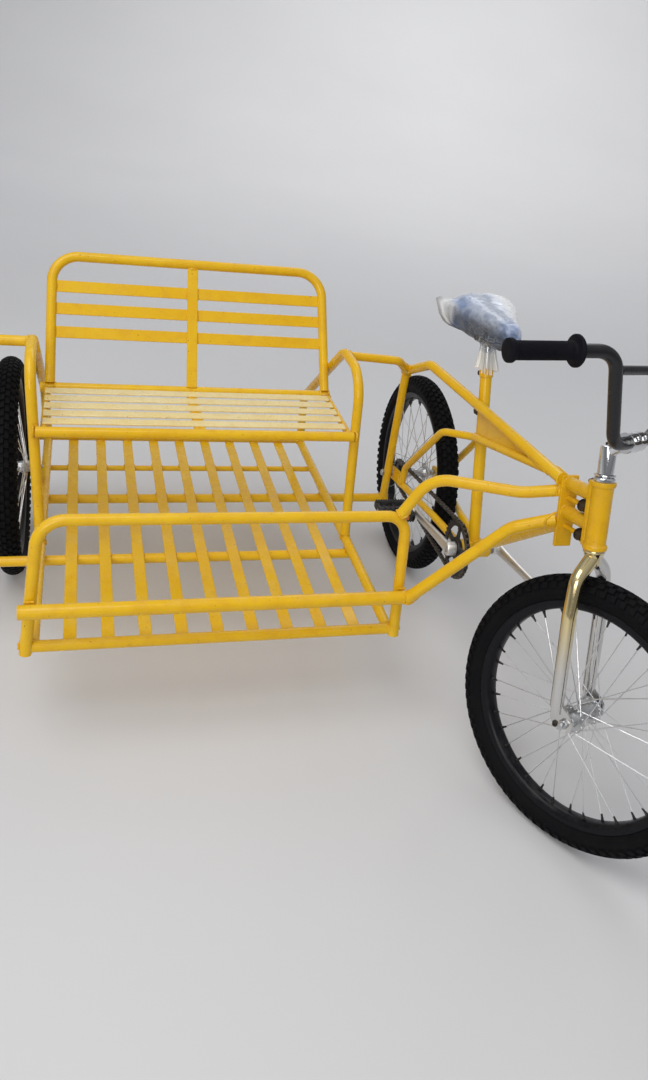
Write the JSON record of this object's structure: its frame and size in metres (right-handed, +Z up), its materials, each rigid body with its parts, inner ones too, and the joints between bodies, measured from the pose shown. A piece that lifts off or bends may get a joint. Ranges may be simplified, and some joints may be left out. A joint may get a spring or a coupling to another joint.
{
  "type": "cycle rickshaw with a sidecar",
  "caption": "Pedal cycle rickshaw: a small-wheeled bicycle with an open slatted passenger sidecar on a third wheel; steers, rolls and pedals.",
  "frame": {"origin": "on the ground under the middle of the vehicle's box", "axes": "+Z up, -Y the way the vehicle faces, +X its left side, so the sidecar is at -X"},
  "size_m": [1.3447, 1.4717, 0.9281],
  "materials": {
    "frame_paint": "gloss golden yellow enamel",
    "chrome": "bright chrome plate",
    "bright_steel": "zinc plated",
    "dark_steel": "black, semi gloss",
    "chain_steel": "oiled dark steel",
    "black_paint": "gloss black",
    "tyre_rubber": "matt black",
    "grip_rubber": "matt black, ribbed",
    "saddle_cover": "dark vinyl under clear film",
    "pedal_black": "matt black"
  },
  "bodies": {
    "vehicle_frame": {"head_tube": "frame_paint", "frame_flange": "frame_paint", "seat_tube": "frame_paint", "down_tube": "frame_paint", "top_tube": "frame_paint", "seat_stays": "frame_paint", "chain_stays": "frame_paint", "upper_link_tube": "frame_paint", "lower_link_tube": "frame_paint", "rear_axle": "bright_steel", "side_stay": "frame_paint", "arm_link_tube": "frame_paint", "axle_bar": "frame_paint", "rear_floor_bar": "frame_paint", "floor_frame": "frame_paint", "floor_slats": "frame_paint", "guard_hoop": "frame_paint", "guard_lower_rail": "frame_paint", "seat_frame": "frame_paint", "seat_slats": "frame_paint", "armrests": "frame_paint", "backrest_hoop": "frame_paint", "backrest_slats": "frame_paint", "backrest_centre_bar": "frame_paint", "wheel_cage": "frame_paint", "axle_plates": "frame_paint", "sidecar_axle": "bright_steel", "chain": "chain_steel", "seat_post": "chrome", "saddle": "saddle_cover"},
    "steering": {"fork": "chrome", "stem": "chrome", "handlebar": "black_paint", "grips": "grip_rubber", "front_axle": "bright_steel"},
    "front_wheel": {"front_tyre": "tyre_rubber", "front_rim": "black_paint", "front_hub": "bright_steel"},
    "rear_wheel": {"rear_tyre": "tyre_rubber", "rear_rim": "black_paint", "rear_hub": "bright_steel"},
    "sidecar_wheel": {"sidecar_tyre": "tyre_rubber", "sidecar_rim": "black_paint", "sidecar_hub": "bright_steel"},
    "crank": {"crank_arms": "bright_steel", "chainring": "dark_steel"},
    "right_pedal": {"right_pedal": "pedal_black"},
    "left_pedal": {"left_pedal": "pedal_black"}
  },
  "joints": [
    {"name": "steering_turn", "type": "hinge", "parent": "vehicle_frame", "child": "steering", "pos_m": [0.3956, -0.3844, 0.6574], "axis": [0, 0.2441, 0.9697], "range_deg": [-87.7, 32.3]},
    {"name": "front_wheel_spin", "type": "hinge", "parent": "steering", "child": "front_wheel", "pos_m": [0.4049, -0.50456, 0.25263], "axis": [0.8854, 0.4508, -0.1135], "continuous": true},
    {"name": "rear_wheel_spin", "type": "hinge", "parent": "vehicle_frame", "child": "rear_wheel", "pos_m": [0.3956, 0.4209, 0.254], "axis": [1, 0, 0], "continuous": true},
    {"name": "sidecar_wheel_spin", "type": "hinge", "parent": "vehicle_frame", "child": "sidecar_wheel", "pos_m": [-0.5934, 0.4459, 0.254], "axis": [1, 0, 0], "continuous": true},
    {"name": "crank_spin", "type": "hinge", "parent": "vehicle_frame", "child": "crank", "pos_m": [0.3956, 0.0079, 0.279], "axis": [1, 0, 0], "continuous": true},
    {"name": "right_pedal_spin", "type": "hinge", "parent": "crank", "child": "right_pedal", "pos_m": [0.2626, 0.1779, 0.279], "axis": [1, 0, 0], "continuous": true},
    {"name": "left_pedal_spin", "type": "hinge", "parent": "crank", "child": "left_pedal", "pos_m": [0.5286, -0.1621, 0.279], "axis": [1, 0, 0], "continuous": true}
  ]
}
